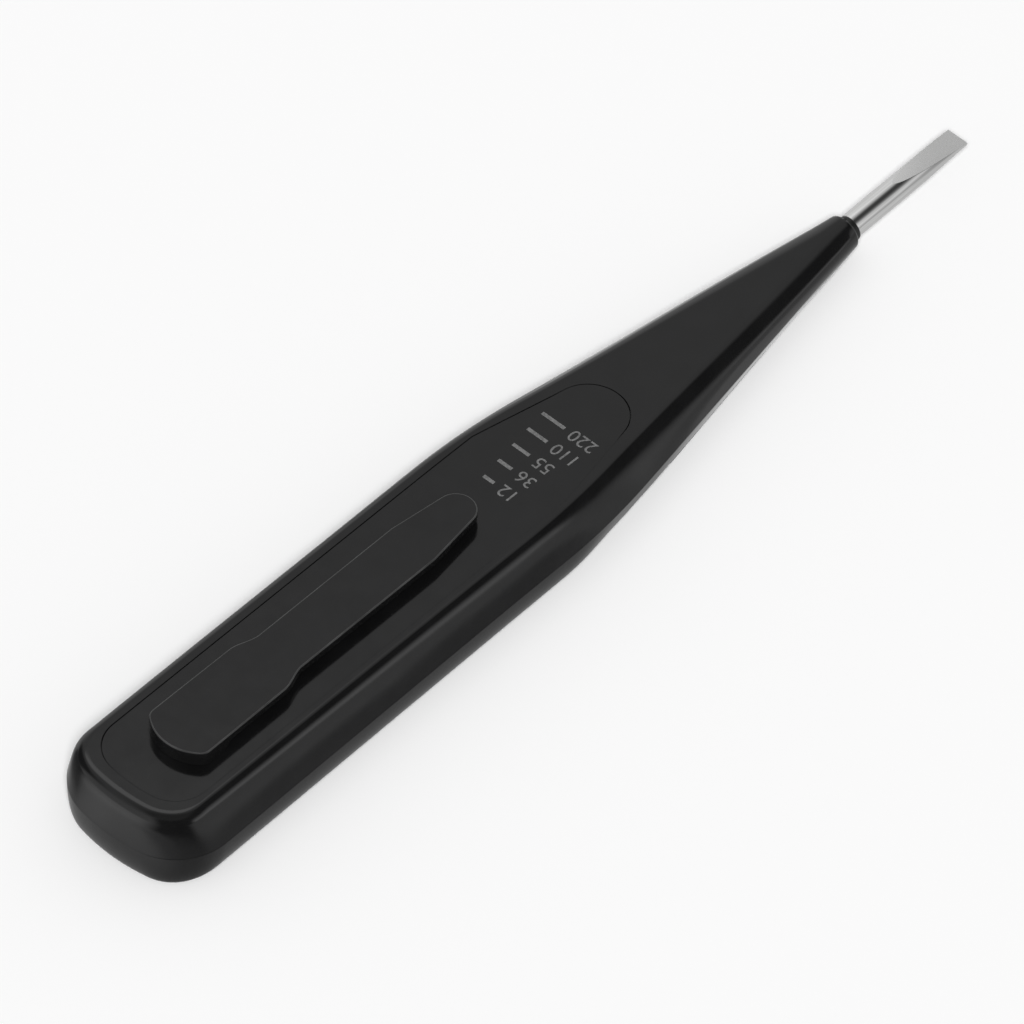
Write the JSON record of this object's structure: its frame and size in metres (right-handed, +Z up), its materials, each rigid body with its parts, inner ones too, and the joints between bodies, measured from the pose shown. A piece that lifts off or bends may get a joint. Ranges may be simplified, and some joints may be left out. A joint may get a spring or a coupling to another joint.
{
  "type": "digital voltage tester screwdriver",
  "caption": "Flat black pocket voltage tester with a tapering casing, flexing pocket clip, touch keys, display window and a slim screwdriver blade.",
  "frame": {"origin": "middle of the bounding box on the plane that the front face lies on", "axes": "+Y along the tool toward the blade tip, +Z up out of the back face and the clip, +X to the right seen from above"},
  "size_m": [0.0214, 0.1402, 0.0124],
  "materials": {
    "black_casing": "satin gloss moulding",
    "black_sleeve": "matt sleeve",
    "steel": "ground and polished",
    "spring_steel": "drawn wire",
    "tinned_brass": "plain",
    "clear_lens": "clear moulding",
    "display_cell": "grey-green display cell",
    "white_plastic": "matt",
    "dark_rubber": "soft",
    "green_board": "solder resist",
    "chip_black": "moulded resin",
    "resistor_body": "lacquered",
    "chip_ceramic": "plain",
    "key_metal": "brushed"
  },
  "bodies": {
    "housing": {"back_shell": "black_casing", "front_shell": "black_casing", "clip_plate": "black_casing", "clip_root": "black_casing", "blade": "steel", "insulating_collar": "black_sleeve", "anchor_pin": "steel", "blade_spring": "spring_steel", "blade_terminal": "tinned_brass", "display_lens": "clear_lens", "lcd_glass": "display_cell", "lcd_holder": "white_plastic", "zebra_strips": "dark_rubber", "circuit_board": "green_board", "controller_chip": "chip_black", "safety_resistors": "resistor_body", "chip_resistors": "chip_black", "chip_capacitors": "chip_ceramic", "clamp_diodes": "chip_black", "key_pads": "tinned_brass", "direct_key_spring": "spring_steel", "induction_key_spring": "spring_steel"},
    "clip": {"clip_arm": "black_casing"},
    "direct_touch_key": {"direct_key": "key_metal"},
    "induction_touch_key": {"induction_key": "key_metal"}
  },
  "joints": [
    {"name": "clip_flex", "type": "hinge", "parent": "housing", "child": "clip", "pos_m": [0, -0.05467, 0.01171], "axis": [1, 0, 0], "range_deg": [0, 5], "stiffness_Nm_per_rad": 2.5},
    {"name": "direct_key_press", "type": "slide", "parent": "housing", "child": "direct_touch_key", "axis": [0, 0, 1], "range_m": [0, 0.0005], "stiffness_N_per_m": 3000, "deforming": ["direct_key_spring"]},
    {"name": "induction_key_press", "type": "slide", "parent": "housing", "child": "induction_touch_key", "axis": [0, 0, 1], "range_m": [0, 0.0005], "stiffness_N_per_m": 3000, "deforming": ["induction_key_spring"]}
  ]
}
